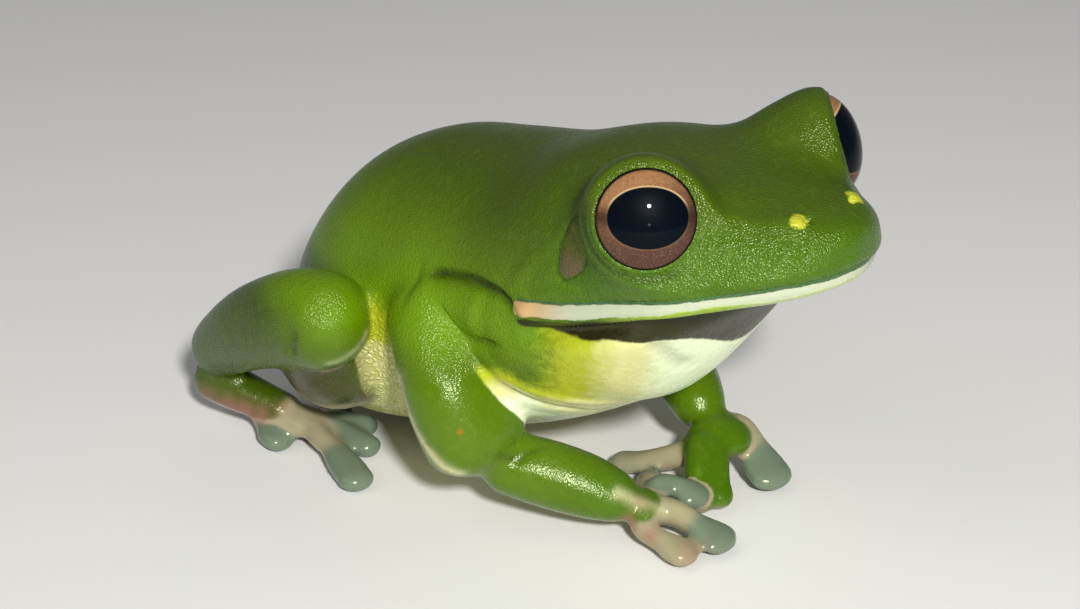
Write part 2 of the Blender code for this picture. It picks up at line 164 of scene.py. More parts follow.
digits = {   # path to the disc, half width of the shaft and of the disc
    "hand_right": [
        ([(-3.2, -19.6, 3.6), (-0.4, -17.4, 3.2), (2.2, -15.8, 2.2), (3.6, -14.6, 1.1)], 1, 1.7),
        ([(-2.6, -20.2, 4), (-0.2, -20.2, 4.2), (1.2, -21.8, 3.6), (1.5, -24.6, 2.6)], 1.4, 2.1),
        ([(-3.8, -21.4, 3.4), (-2.6, -24.8, 3), (-1.9, -27.8, 2), (-1.1, -31.3, 1.1)], 1.6, 2.7),
        ([(-6.4, -21.6, 3.2), (-7, -24, 2.4), (-6.6, -26.8, 1.7), (-6.1, -30.2, 1.1)], 1.4, 2.2),
    ],
    "hand_left": [
        ([(9.6, -18.2, 4.6), (6.8, -15.6, 3.4), (5, -12, 1.9), (3.4, -8.4, 1.1)], 1.6, 1.9),
        ([(9.2, -17.4, 6), (6, -19.9, 4.4), (4, -21.9, 2.6), (2.6, -24, 1.1)], 1.7, 1.8),
        ([(10.4, -18.4, 5.8), (8, -20.8, 4.2), (6, -22.8, 2.6), (4.6, -24.8, 1.1)], 1.6, 1.7),
        ([(12.4, -17.2, 5.6), (14.6, -18.8, 5), (14.1, -22, 3), (12.7, -26.5, 1.1)], 1.9, 2.8),
    ],
    "foot_right": [
        ([(-15, 23.4, 2.6), (-13.4, 23.6, 2), (-11.8, 23.6, 1.5), (-9.8, 23.2, 1)], 1.1, 1.6),
        ([(-14.8, 22, 2.4), (-13.2, 20.8, 2), (-12, 19.4, 1.6), (-10.4, 17.6, 1)], 1.2, 1.8),
        ([(-16, 21, 2.4), (-15.2, 18.6, 2), (-14.8, 16.4, 1.6), (-14.4, 13.2, 1)], 1.3, 1.8),
        ([(-17.6, 22, 2.8), (-18.6, 18.4, 2.4), (-19.4, 14.2, 1.9), (-21.3, 7.9, 1)], 1.4, 2.2),
        ([(-18.6, 27.4, 3), (-20.2, 27.6, 2.3), (-21.1, 25, 1.7), (-20.7, 21.8, 1)], 1.2, 2.2),
    ],
}
webs = [   # skin between the right foot's toes: path, half widths, half thicknesses
    ([(-15.4, 21.4, 2.2), (-14.2, 18.8, 1.7), (-12.8, 16.6, 1.2)], [1.5, 1.9, 1.2], [0.9, 0.75, 0.6]),
    ([(-17, 20.6, 2.2), (-16.9, 17.6, 1.8), (-16.6, 14.8, 1.3)], [1.5, 1.8, 1.2], [0.9, 0.75, 0.6]),
]
discHalfThickness = 1.2

head = {
    "eye": (14.45, -29.16, 43.9),
    "gaze": (0.656, -0.699, 0.286),
    "eyeHalves": (5.6, 3.7),         # across the gaze and along it
    "brow": (13.04, -27.66, 43.28),
    "browRadius": 6.0,
    "lidOpening": 65.0,              # degrees from the gaze to the lid's rim, where the eye is a ball
    "lidThickness": 0.22,
    "mouth": [                       # y and z of the mouth line
        (-44.9, 38.9), (-44, 38.3), (-41.5, 37.9), (-35.5, 36.4), (-27.4, 34.6), (-20.4, 32.5), (-14.5, 31.2),
        (-5, 30.0)],
    "browBlend": 5.5,                # how far the brow and the lids run into the form they stand on
    "lidBlend": 2.0,
    "lidCrease": (0.45, 0.32, 0.5),  # how far it lies past the eye, its width and depth
}
ear = {
    "centre": (17.0, -21.8, 38.9),
    "axis": (0.92, 0.05, 0.38),
    "long": (-0.32, -0.40, 0.86),
    "halves": (3.4, 2.1),
    "taper": 0.35,                   # share by which it widens towards the top
    "reach": 3.0,                    # along its axis
    "bulge": 0.12,
    "groove": (1.1, 0.16, 0.22),     # place in halves, width and depth of the groove round it
}
lips = {   # level above the mouth line, width and height; below 0 it is a groove
    "groove": (0, 0.34, -0.45),
    "upper": (0.9, 0.7, 0.15),
    "lower": (-1.2, 0.95, 0.4),
    "hollow": (-4.0, 1.2, -1.7),
}
bumps = [   # on both sides: centre, width and height; below 0 it is a pit
    ((3.6, -41.0, 43.9), 0.42, -0.7),      # nostril
    ((4.4, -40.5, 43.6), 0.9, 0.3),        # swelling behind it
    ((17.9, -15.6, 30.5), 1.1, 0.35),      # knob at the end of the lip
]
nostril, nostrilSpot = np.array(bumps[0][0]), np.array(bumps[1][0])


def nearBothEnds(rings, share):
    # t from 0 to 1 without the ends: part evenly spread, part by a cosine that is closer at both ends
    even = np.linspace(0, 1, rings + 2)[1:-1]
    return (1 - share) * even + share * (0.5 - 0.5 * np.cos(even * math.pi))


def bodyRings(rows, rings, sides):
    # at each y: x = w sgn(cos) |cos|^(2/p) and z = level + reach sgn(sin) |sin|^(2/p)
    t = nearBothEnds(rings, 0.5)
    y, half, top, bottom, level, squareUp, squareDown = curveThrough(rows, t).T
    angle = np.linspace(0, 2 * math.pi, sides, endpoint=False)
    c, s = np.cos(angle), np.sin(angle)
    power = 2 / np.where(s[None] >= 0, squareUp[:, None], squareDown[:, None])
    reach = np.where(s[None] >= 0, (top - level)[:, None], (level - bottom)[:, None])
    x = half[:, None] * np.sign(c) * np.abs(c) ** power
    z = level[:, None] + reach * np.sign(s) * np.abs(s) ** power
    return closedGrid(np.stack([x, np.broadcast_to(y[:, None], x.shape), z], -1),
                      (0, rows[0][0], rows[0][4]), (0, rows[-1][0], rows[-1][4]))


def limbFrames(path, widths, heights, reference, t):
    # centre, side and normal directions and the two half sizes at t along the path
    centre = curveThrough(path, t)
    ahead, behind = curveThrough(path, np.clip(t + 0.001, 0, 1)), curveThrough(path, np.clip(t - 0.001, 0, 1))
    tangent = unit(ahead - behind)
    side = unit(np.cross(tangent, np.asarray(reference, float)))
    halves = curveThrough(widths, t)[:, 0], curveThrough(heights, t)[:, 0]
    return centre, side, np.cross(side, tangent), *halves


def limbRings(path, widths, heights, reference, rings=44, sides=32):
    # ellipses carried along the path; their size falls as sqrt(1 - d^2) in the last stretch at both ends
    t = nearBothEnds(rings, 0.65)
    centre, side, normal, halfWidth, halfHeight = limbFrames(path, widths, heights, reference, t)
    fine = np.linspace(0, 1, 400)
    steps = np.linalg.norm(np.diff(curveThrough(path, fine), axis=0), axis=1)
    lengths = np.concatenate([[0], np.cumsum(steps)])
    along = np.interp(t, fine, lengths)
    startRound = (halfWidth[0] + halfHeight[0]) / 2
    endRound = (halfWidth[-1] + halfHeight[-1]) / 2
    before = np.clip((startRound - along) / startRound, 0, 1)
    after = np.clip((along - lengths[-1] + endRound) / endRound, 0, 1)
    taper = np.sqrt(1 - before**2) * np.sqrt(1 - after**2)
    angle = np.linspace(0, 2 * math.pi, sides, endpoint=False)
    c, s = np.cos(angle)[None, :, None], np.sin(angle)[None, :, None]
    across, above = (taper * halfWidth)[:, None, None], (taper * halfHeight)[:, None, None]
    rings = centre[:, None] + side[:, None] * across * c + normal[:, None] * above * s
    return closedGrid(rings, path[0], path[-1])


def ellipsoidGrid(centre, axes, halves, rings=40, sides=56):
    # centre + sum over the three axes of half * direction, direction on the unit sphere
    polar = np.linspace(0, math.pi, rings + 2)[1:-1, None]
    around = np.linspace(0, 2 * math.pi, sides, endpoint=False)[None]
    direction = np.stack([np.sin(polar) * np.cos(around), np.sin(polar) * np.sin(around),
                          np.cos(polar) * np.ones_like(around)], -1)
    axes, halves, centre = np.asarray(axes), np.asarray(halves), np.asarray(centre)
    rings = centre + (direction * halves) @ axes
    return closedGrid(rings, centre + halves[2] * axes[2], centre - halves[2] * axes[2])


def axesAlong(axis):
    # three perpendicular unit rows, the last one along the axis
    axis = unit(axis)
    first = unit(np.cross((0, 0, 1), axis))
    return np.array([first, np.cross(axis, first), axis])


def digitShape(path, shaft, disc):
    # a round shaft that flattens to the disc's thickness
    widths = [shaft, shaft, 0.95 * shaft, 0.95 * disc, disc]
    heights = [shaft, 0.95 * shaft, 0.85 * shaft, discHalfThickness, discHalfThickness]
    return path, widths, heights, up


parts = {}   # name: the arguments of limbFrames, for shapes that follow a path
for name, limb in limbs.items():
    parts[name] = limb
for name, (path, widths, heights) in palms.items():
    parts[name + "_palm"] = (path, widths, heights, up)
    for number, digit in enumerate(digits[name], 1):
        parts[f"{name}_{number}"] = digitShape(*digit)
for number, (path, widths, heights) in enumerate(webs, 1):
    parts[f"foot_right_web_{number}"] = (path, widths, heights, up)
for name in [name for name in parts if name.startswith(("thigh", "shank", "tarsus", "foot"))]:
    path, widths, heights, reference = parts[name]
    parts[name.replace("_right", "_left")] = ([(-x, y, z) for x, y, z in path], widths, heights, reference)


def eyeParts(sign):
    # centre of the eye and direction of its gaze; the sign is 1 on the left side and -1 on the right
    return np.array(head["eye"]) * (sign, 1, 1), unit(np.array(head["gaze"]) * (sign, 1, 1))


def skinShapes():
    shapes = [bodyRings(body["sections"], body["rings"], body["sides"])]
    shapes += [limbRings(*part) for part in parts.values()]
    across, along = np.array(head["eyeHalves"]) + 0.3
    for sign in (1, -1):
        centre, gaze = eyeParts(sign)
        brow = np.array(head["brow"]) * (sign, 1, 1)
        shapes.append(ellipsoidGrid(brow, axesAlong(gaze), [head["browRadius"]] * 3))
        shapes.append(ellipsoidGrid(centre, axesAlong(gaze), (across, across, along)))
    return shapes


def fused(name, shapes, voxel):
    # one closed surface round all the shapes
    obj = show(name, meshFrom(name, shapes))
    remesh = obj.modifiers.new("fuse", "REMESH")
    remesh.mode = "VOXEL"
    remesh.voxel_size = voxel
    bpy.context.view_layer.update()
    depsgraph = bpy.context.evaluated_depsgraph_get()
    result = bpy.data.meshes.new_from_object(obj.evaluated_get(depsgraph))
    bpy.data.objects.remove(obj)
    return result


def readMesh(mesh):
    co = np.empty(len(mesh.vertices) * 3)
    mesh.vertices.foreach_get("co", co)
    edges = np.empty(len(mesh.edges) * 2, int)
    mesh.edges.foreach_get("vertices", edges)
    mesh.calc_loop_triangles()
    triangles = np.empty(len(mesh.loop_triangles) * 3, int)
    mesh.loop_triangles.foreach_get("vertices", triangles)
    return co.reshape(-1, 3), edges.reshape(-1, 2), triangles.reshape(-1, 3)


def normalsOf(co, triangles):
    # each triangle's cross product added to its three corners, then made one long
    cross = np.cross(co[triangles[:, 1]] - co[triangles[:, 0]], co[triangles[:, 2]] - co[triangles[:, 0]])
    total = np.zeros_like(co)
    for corner in range(3):
        for axis in range(3):
            total[:, axis] += np.bincount(triangles[:, corner], cross[:, axis], len(co))
    return unit(total)


def neighbourMean(values, edges):
    # mean of the values at the points that share an edge with each point
    a, b = edges.T
    flat = values.reshape(len(values), -1)
    count = np.maximum(np.bincount(np.concatenate([a, b]), minlength=len(values)), 1)
    total = np.stack([np.bincount(a, column[b], len(values)) + np.bincount(b, column[a], len(values))
                      for column in flat.T], 1)
    return (total / count[:, None]).reshape(values.shape)


def pathPlace(co, part):
    # nearest sample of the path: its t, and roughly how far outside the part's surface
    t = np.linspace(0, 1, 60)
    centre, side, normal, halfWidth, halfHeight = limbFrames(*part, t)
    near = np.full(len(co), 1e9)
    best = np.zeros(len(co), int)
    for k in range(len(t)):
        d = np.sum((co - centre[k]) ** 2, axis=1)
        closer = d < near
        near[closer] = d[closer]
        best[closer] = k
    offset = co - centre[best]
    a = np.sum(offset * side[best], 1)
    b = np.sum(offset * normal[best], 1)
    past = np.sqrt(np.maximum(near - a * a - b * b, 0))
    share = np.sqrt((a / halfWidth[best]) ** 2 + (b / halfHeight[best]) ** 2 + (past / halfWidth[best]) ** 2)
    return t[best], (share - 1) * halfHeight[best]


def bodyPlace(co):
    # from the superellipse of the body's section at each point's y, roughly how far outside it the point is
    rows = np.array(body["sections"])
    t = np.linspace(0, 1, 400)
    fine = curveThrough(rows, t)
    half, top, bottom, level, squareUp, squareDown = [
        np.interp(co[:, 1], fine[:, 0], fine[:, k]) for k in range(1, 7)]
    above = co[:, 2] >= level
    reach = np.where(above, top - level, level - bottom)
    power = np.where(above, squareUp, squareDown)
    measure = (np.abs(co[:, 0]) / half) ** power + (np.abs(co[:, 2] - level) / reach) ** power
    return (measure ** (1 / power) - 1) * np.minimum(reach, half)


def distanceFrom(co, point, sign=1):
    return np.linalg.norm(co - np.array(point) * (sign, 1, 1), axis=1)


def distanceTo(co, path):
    # distance to the nearest stretch of a line of points, and how far along it, from 0 to 1
    path = np.asarray(path, float)
    lengths = np.concatenate([[0], np.cumsum(np.linalg.norm(np.diff(path, axis=0), axis=1))])
    nearest = np.full(len(co), 1e9)
    place = np.zeros(len(co))
    for k, (a, b) in enumerate(zip(path, path[1:])):
        step = b - a
        t = np.clip((co - a) @ step / (step @ step), 0, 1)
        d = np.linalg.norm(co - a - t[:, None] * step, axis=1)
        closer = d < nearest
        nearest[closer] = d[closer]
        place[closer] = ((lengths[k] + t * np.linalg.norm(step)) / lengths[-1])[closer]
    return nearest, place


folds = [   # side (0 both), points, width, height (below 0 a groove), how dark the painted shade along its line is
    # ridge from eye to nostril, ridge over the ear, crease above the shoulder, shoulder, crease under it
    (0, [(10.2, -34.5, 44.6), (7, -38.2, 44.4), (4.2, -40.6, 43.6)], 1.3, 0.35, 0),
    (0, [(17.4, -23.6, 41.4), (16.6, -19.4, 41.6), (17.9, -16.6, 37), (18, -13.4, 32.4)], 0.9, 0.4, 0),
    (0, [(17, 0.5, 29.4), (17.1, -3.7, 30.4), (17.3, -7.2, 30.9), (17.6, -11.2, 30.9),
         (17.8, -14.2, 29.9)], 0.6, -1, 1),
    (0, [(17.2, 1, 27), (17.6, -4.5, 27.4), (17.4, -9.5, 27)], 2.6, 1.3, 0),
    (0, [(17.4, -3.6, 25), (17.2, -6.9, 23.9), (17.4, -11, 24.6)], 0.5, -0.6, 0.5),
    # rear edge of the throat, groove behind it, ray on the chest, dent in the throat
    (0, [(17.2, -7.4, 23.2), (16.4, -9.8, 21), (14.9, -12.9, 19.4), (11.4, -16.2, 18),
         (7, -18.6, 17)], 0.7, 0.4, 0),
    (0, [(16.8, -7.4, 21.2), (15.8, -9.8, 18.8), (13.8, -12.2, 17.2), (10.2, -14.6, 15.8),
         (5, -15.6, 14.6)], 0.5, -0.6, 0.55),
    (0, [(15.4, -7.6, 18.6), (13.2, -10, 15.8), (9.8, -12, 14.2)], 0.5, -0.5, 0.35),
    (-1, [(-12.3, -28.3, 29.1), (-9.8, -28, 27.2), (-7, -27.3, 24.8), (-3.8, -26.5, 22.7)],
     0.9, -0.4, 0.3),
    # knee, elbow and rear edge of the arm, on the right side
    (-1, [(-28.1, 10.1, 23.1), (-28.3, 10.6, 21.4), (-27.9, 11.1, 19.1)], 0.7, -0.4, 0.35),
    (-1, [(-18, -11.4, 11.3), (-15.8, -12, 10.3), (-12.6, -12.9, 10.8)], 0.5, -0.25, 0.6),
    (-1, [(-22.6, -3.2, 17.2), (-22.8, -5.4, 13.4), (-21.6, -8.6, 11.4)], 0.4, -0.3, 0.4),
]
fringes = [   # thin pale edges on the right side, at elbow, knee and wrist: points, width and strength
    ([(-22.9, -0.8, 19), (-23.3, -2.1, 16.7), (-23.5, -4.2, 13.4), (-22.9, -7.1, 10.6), (-21.4, -9, 9.3)],
     0.75, 0.9),
    ([(-25.4, 7.8, 18.6), (-23.4, 6.4, 19.8), (-21.2, 6.3, 21.4)], 0.5, 0.5),
    ([(-8.7, -20.8, 6.8), (-6.5, -22.2, 5.1), (-4.9, -23.6, 4)], 0.7, 0.7),
]


def foldLines(co):
    # each fold as it lies on one side, with its bell of distance faded at both ends
    for side, path, width, height, shadeStrength in folds:
        for sign in ((1, -1) if side == 0 else (1,)):
            distance, place = distanceTo(co, np.array(path) * (sign, 1, 1))
            ends = ease(0, 0.15, place) ** 0.5 * (1 - 0.6 * ease(0.85, 1, place))
            yield distance, width, height, shadeStrength, ends


def carve(co):
    # how far the folds move the points along their normals: height times the bell of distance
    move = np.zeros(len(co))
    for distance, width, height, shadeStrength, ends in foldLines(co):
        move += height * bell(distance, width) * ends
    return move


def creaseShadeLines(co):
    # painted shade: the dark lines at the bottom of the grooves
    creaseShade = np.zeros(len(co))
    for distance, width, height, shadeStrength, ends in foldLines(co):
        creaseShade = np.maximum(creaseShade, shadeStrength * bell(distance, 0.9 * width) * ends)
    return creaseShade


def earMeasure(co):
    # 1 at the eardrum's edge: hypot of the offset along and across it, over its halves, wider towards the top
    drum = np.full(len(co), 3.0)
    a, b = ear["halves"]
    for sign in (1, -1):
        offset = co - np.array(ear["centre"]) * (sign, 1, 1)
        axis = unit(np.array(ear["axis"]) * (sign, 1, 1))
        long = unit(np.array(ear["long"]) * (sign, 1, 1))
        rise = offset @ long / a
        side = offset @ np.cross(axis, long) / (b * (1 + ear["taper"] * np.clip(rise, -1, 1)))
        near = np.abs(offset @ axis) < ear["reach"]
        drum = np.where(near, np.minimum(drum, np.hypot(rise, side)), drum)
    return drum


def mouthHeight(co):
    # height above the mouth line, which is read at each point's y
    mouth = np.array(head["mouth"])
    return co[:, 2] - np.interp(co[:, 1], mouth[:, 0], mouth[:, 1])


def shapeMouth(co, normals, onBody):
    # height times bell for the groove on the mouth line, the lips beside it and the hollow under the jaw
    h, y = mouthHeight(co), co[:, 1]
    move = {name: height * bell(h - level, width) for name, (level, width, height) in lips.items()}
    move["hollow"] = move["hollow"] * ease(-14, -18, y) * ease(-34, -31, y)
    front = onBody * ease(-12.5, -14.5, y) * (np.abs(normals[:, 2]) < 0.93)
    return front * sum(move.values())


def stretched(offset, gaze, ratio):
    # the same offsets with their part along the gaze multiplied by the ratio
    return offset + (ratio - 1) * (offset @ gaze)[:, None] * gaze


def smoothUnion(a, b, reach):
    # the smaller of two distances, rounded off by reach h (1 - h) where they are nearly equal
    h = np.clip(0.5 + 0.5 * (b - a) / reach, 0, 1)
    return b + (a - b) * h - reach * h * (1 - h)


def headDistance(co):
    # distance outside the body, the brows and the lids, run together smoothly
    across, along = head["eyeHalves"]
    distance = bodyPlace(co)
    for sign in (1, -1):
        brow = distanceFrom(co, head["brow"], sign) - head["browRadius"]
        distance = smoothUnion(distance, brow, head["browBlend"])
    for sign in (1, -1):
        centre, gaze = eyeParts(sign)
        ball = stretched(co - centre, gaze, across / along)
        lid = np.linalg.norm(ball, axis=1) - across - head["lidThickness"]
        distance = smoothUnion(distance, lid * along / across, head["lidBlend"])
    return distance


def settleHead(co, steps=6, probe=0.05):
    # Newton steps down the gradient until the points of the head's top and sides lie where the distance is 0
    share = ease(32.5, 35, co[:, 2]) * ease(-16, -19, co[:, 1]) * ease(-42, -39, co[:, 1])
    chosen = np.flatnonzero(share > 0)
    points, share = co[chosen], share[chosen, None]
    for _ in range(steps):
        value = headDistance(points)[:, None]
        slope = np.stack([headDistance(points + step) - headDistance(points - step)
                          for step in probe * np.eye(3)], 1) / (2 * probe)
        steepness = np.maximum(np.sum(slope**2, 1, keepdims=True), 0.2)
        points = points - share * np.clip(value / steepness, -1, 1) * slope
    result = co.copy()
    result[chosen] = points
    return result


def lidCrease(co, sign):
    # under and behind the lower lid: bell of the distance from the gaze line less a fixed reach
    centre, gaze = eyeParts(sign)
    past, width, depth = head["lidCrease"]
    offset = co - centre
    side = unit(np.cross((0, 0, 1), gaze))
    front, top = offset @ side * -sign, offset @ np.cross(gaze, side)
    below = ease(1.0, 3.8, -0.6 * front - 0.8 * top)
    reach = np.hypot(front, top) - head["eyeHalves"][0] - past
    return bell(reach, width) * below * ease(-3.5, -1.5, offset @ gaze)


def shapeLids(co, sign):
    # where the eye is a ball: the skin's radius hidden in the opening, a rim at its edge, the brow outside
    centre, gaze = eyeParts(sign)
    across, along = head["eyeHalves"]
    offset = stretched(co - centre, gaze, across / along)
    radius = np.linalg.norm(offset, axis=1)
    angle = np.degrees(np.arccos(np.clip(offset @ gaze / np.maximum(radius, 1e-9), -1, 1)))
    near = (radius < across + 5.0) & (angle < 100)
    opening = head["lidOpening"]
    rim = across + head["lidThickness"]
    blend = ease(opening + 2, opening + 12, angle)
    skin = (1 - blend) * rim + blend * np.maximum(radius, rim)
    hidden = across - 0.9
    target = hidden + (skin - hidden) * ease(opening - 3, opening + 1.5, angle)
    new = radius + (target - radius) * (1 - ease(80, 98, angle))
    moved = stretched(offset * (new / np.maximum(radius, 1e-9))[:, None], gaze, along / across)
    result = co.copy()
    result[near] = centre + moved[near]
    depth = head["lidCrease"][2] * lidCrease(result, sign)
    return result - depth[:, None] * unit(result - centre)


def refine(mesh, centres, radius):
    # splits the faces near the given centres in four
    co, edges, triangles = readMesh(mesh)
    near = np.min([distanceFrom(co[edges[:, 0]], centre) for centre in centres], axis=0) < radius
    bm = bmesh.new()
    bm.from_mesh(mesh)
    bm.edges.ensure_lookup_table()
    chosen = [bm.edges[k] for k in np.flatnonzero(near).tolist()]
    bmesh.ops.subdivide_edges(bm, edges=chosen, cuts=1, use_grid_fill=True)
    bmesh.ops.triangulate(bm, faces=[f for f in bm.faces if len(f.verts) > 4])
    bm.to_mesh(mesh)
    bm.free()


skinShape = {
    "voxel": 0.485,
    "fillSteps": 40,              # rounds that fill the creases where forms meet
    "fillStrength": 0.55,
    "fillNearFloor": 0.25,        # gentler on hands and feet, below the next height
    "floorHeight": 7,
    "smoothSteps": 12,
    "fineRoundEyes": 2.4,         # how far past the eyes the mesh is split once more
    "fineRoundLids": 1.5,         # how far from the eyes' centres and the nostrils it is split again
}
marks = {
    "stripeWidth": [(-45, 0.25), (-44, 0.35), (-41.5, 0.5), (-38, 0.4), (-34, 0.46), (-30, 0.66), (-26, 0.76),
                    (-20, 0.76), (-17.5, 0.66), (-15.4, 0.78), (-14, 0.7)],
    "stripeEnd": -13.8,
    "fleck": (-21.4, -9.1, 14.9),        # one small orange spot on the right upper arm
    "bellyLevel": [(-45, 30), (-30, 30), (-24, 29), (-19, 24), (-10, 20.5), (0, 20.5), (7, 20.8), (16, 16),
                   (25, 11), (34, 7)],
}
# for each form: tone at the base and at the tip (0 green, 1 cream, 2 grey), where along it the tone changes,
# and how steeply an underside has to face down to be pale (0 never)
tones = {
    "upper_arm_right": (0, 0, 0, 1, 0.75), "forearm_right": (0, 0, 0, 1, 0.62),
    "thigh_right": (0.25, 0.25, 0, 1, 0.6), "shank_right": (0, 0, 0, 1, 0.8),
    "tarsus_right": (0, 1, 0.72, 1, 0.4),
    "hand_right_palm": (0, 1, 0.3, 0.9, 0.5),
    "hand_right_1": (1, 2, 0.3, 0.8, 0), "hand_right_2": (2, 2, 0, 1, 0),
    "hand_right_3": (1, 2, 0.3, 0.7, 0), "hand_right_4": (0.9, 1.3, 0.3, 0.7, 0),
    "hand_left_palm": (0, 0.3, 0.4, 1, 0.5),
    "hand_left_1": (0.8, 1.5, 0.2, 0.8, 0), "hand_left_2": (0, 0.3, 0.8, 1, 0.5),
    "hand_left_3": (0, 0.3, 0.85, 1, 0.5), "hand_left_4": (0.9, 2, 0.4, 0.75, 0),
    "foot_right_palm": (0.9, 1.4, 0.4, 1, 0),
    "foot_right_1": (2, 2, 0, 1, 0), "foot_right_2": (1.9, 2, 0, 1, 0),
    "foot_right_3": (1.8, 2, 0, 1, 0), "foot_right_4": (1, 2, 0.45, 0.75, 0),
    "foot_right_5": (1, 2, 0.2, 0.5, 0),
    "foot_right_web_1": (1.7, 2, 0, 1, 0), "foot_right_web_2": (1.5, 2, 0, 1, 0),
}
blushes = [   # centre, size, strength and whether it is on both sides: heels first, then the right hand
    ((-24.2, 32.8, 4.4), 1.8, 0.8, True), ((-23.3, 29.9, 4), 1.8, 0.9, True),
    ((-22.4, 28.2, 3.6), 1.8, 1, True), ((-20.9, 26.4, 3.6), 1.4, 1, True),
    ((-19.6, 24.6, 4.4), 1.2, 0.5, True),
    ((-6.5, -22.2, 5.1), 1.3, 0.4, False), ((-8, -22, 3), 1.2, 0.9, False),
    ((-7.7, -25, 2.6), 1.1, 0.8, False), ((-6.1, -30.2, 1.6), 2.4, 0.45, False),
]


def smoothSkin(mesh):
    # the points settled on the head, with the creases filled and the surface evened out
    co, edges, triangles = readMesh(mesh)
    print("skin fused", len(co), "points")
    low = co[:, 2] < skinShape["floorHeight"]
    strength = np.where(low, skinShape["fillNearFloor"], skinShape["fillStrength"])
    co = settleHead(co)
    for step in range(skinShape["fillSteps"]):      # to the neighbours' mean, only where that is outwards
        if step % 8 == 0:
            normals = normalsOf(co, triangles)
        pull = neighbourMean(co, edges) - co
        rise = np.maximum(np.sum(pull * normals, axis=1), 0)
        co = co + (strength * rise)[:, None] * normals
    for step in range(skinShape["smoothSteps"]):    # Taubin: a step to the mean, then a larger step back
        co = co + 0.5 * (neighbourMean(co, edges) - co)
        co = co - 0.52 * (neighbourMean(co, edges) - co)
    mesh.vertices.foreach_set("co", co.ravel())
    eyeCentres = [eyeParts(sign)[0] for sign in (1, -1)]
    refine(mesh, eyeCentres, head["eyeHalves"][0] + skinShape["fineRoundEyes"])
    refine(mesh, eyeCentres + [nostril * (sign, 1, 1) for sign in (1, -1)], skinShape["fineRoundLids"])
    mesh.update()


def shapeFace(co, triangles, onBody):
    # mouth, folds, lids, nostrils, knobs and eardrums, and nothing below the floor
    normals = normalsOf(co, triangles)
    co = co + (shapeMouth(co, normals, onBody) + carve(co))[:, None] * normals
    co = shapeLids(co, 1)
    co = shapeLids(co, -1)
    for sign in (1, -1):
        push = sum(height * bell(distanceFrom(co, centre, sign), width) for centre, width, height in bumps)
        co = co + push[:, None] * normals
    drum = earMeasure(co)
    place, width, depth = ear["groove"]
    push = ear["bulge"] * (1 - ease(0.6, 1.0, drum)) - depth * bell(drum - place, width)
    co = co + push[:, None] * normals
    co[:, 2] = np.maximum(co[:, 2], 0.02)
    return co, drum


def paleField(co, h):
    # above 0 where the skin is yellow, then cream, then white: millimetres below the belly's upper edge,
    # on the throat a slope to the front and the middle, and a yellow strip between arm and thigh
    x, y, z = co.T
    level = np.interp(y, *np.array(marks["bellyLevel"]).T)
    throat = (0.5 - 0.21 * y - 0.28 * np.abs(x)) * ease(-2.0, -2.8, h) - 3 * ease(-2.8, -2.0, h)
    throat = np.maximum(throat, np.minimum(19.5 - z, 3.0))
    pale = level - z + (throat - level + z) * ease(-10.5, -13.5, y)
    pale = np.minimum(pale, 4.5 - 2.7 * ease(-9, -4, y))
    return np.maximum(pale, 3.0 * bell(y - 6.8, 2.8) * ease(29, 22, z) - 2.6)


def shadeField(co, h):
    # 1 in the band of painted shadow under the jaw, from the lip down to the throat, softer on the left side
    x, y, z = co.T
    throatTop = 28.3 + 0.9 * ease(-22, -25.5, y) - 5.6 * bell(x - 5, np.where(x > 5, 6, 10))
    soft = 0.5 + 0.7 * ease(-2, 7, x)
    lipBottom = -1.8 - 0.5 * ease(-29, -34, y)
    band = ease(lipBottom, lipBottom - 0.5, h) * ease(throatTop - soft, throatTop + soft, z)
    return band * ease(-13.6, -15.0, y)


def toneField(co, normals, owner, place):
    # the tones table read along each form, with pale undersides and a pale rear edge on the upper arms
    toe = np.zeros(len(co))
    for index, name in enumerate(parts, 1):
        base, tip, start, end, under = tones.get(name) or tones[name.replace("_left", "_right")]
        tone = base + (tip - base) * ease(start, end, place[name])
        if under:
            tone = np.maximum(tone, 0.95 * ease(-under, -under - 0.25, normals[:, 2]))
        if name.startswith("upper_arm"):
            rear = normals @ unit((np.sign(parts[name][0][0][0]) * 0.6, 0.75, -0.3))
            tone = np.maximum(tone, 0.95 * ease(0.86, 0.97, rear))
        toe[owner == index] = tone[owner == index]
    return toe


def skinFields(co, normals, edges, owner, place, outside):
    # numbers for each point that the material turns into markings and painted shade
    x, y, z = co.T
    h = mouthHeight(co)
    onThigh = np.isin(owner, [k for k, name in enumerate(parts, 1) if name.startswith("thigh")])
    frontThigh = onThigh * ease(9.5, 7.5, y) * ease(22, 20, z)
    blush, fringe = np.zeros(len(co)), np.zeros(len(co))
    for centre, size, strength, both in blushes:
        for sign in ((1, -1) if both else (1,)):
            blush = np.maximum(blush, strength * bell(distanceFrom(co, centre, sign), size))
    for path, size, strength in fringes:
        fringe = np.maximum(fringe, strength * bell(distanceTo(co, path)[0], size))
    smoothed = {
        "toe": toneField(co, normals, owner, place),
        # painted shade on the lower side of the thighs, under the knees
        "shadedThigh": onThigh * ease(19.5, 16.5, z) * ease(7.5, 9.5, y) * (1 - 0.7 * ease(20, 27, y)),
        "pale": paleField(co, h),
        "onLimb": (owner > 0) * (1 - ease(1.8, 0.8, outside)) * (1 - frontThigh),
    }
    for _ in range(5):
        smoothed = {name: 0.5 * v + 0.5 * neighbourMean(v, edges) for name, v in smoothed.items()}
    return {
        **smoothed,
        "height": z, "alongBody": y, "mouthHeight": h,
        "onHead": (owner == 0) & (np.abs(h) < 9),
        "stripeHalf": np.interp(y, *np.array(marks["stripeWidth"]).T),
        "lipEnd": y - marks["stripeEnd"],
        # painted shadow under the jaw
        "shade": shadeField(co, h) * (owner == 0),
        "blush": blush, "fringe": fringe,
        "fleck": distanceFrom(co, marks["fleck"]),
        "spot": np.minimum(distanceFrom(co, nostrilSpot), distanceFrom(co, nostrilSpot, -1)),
    }


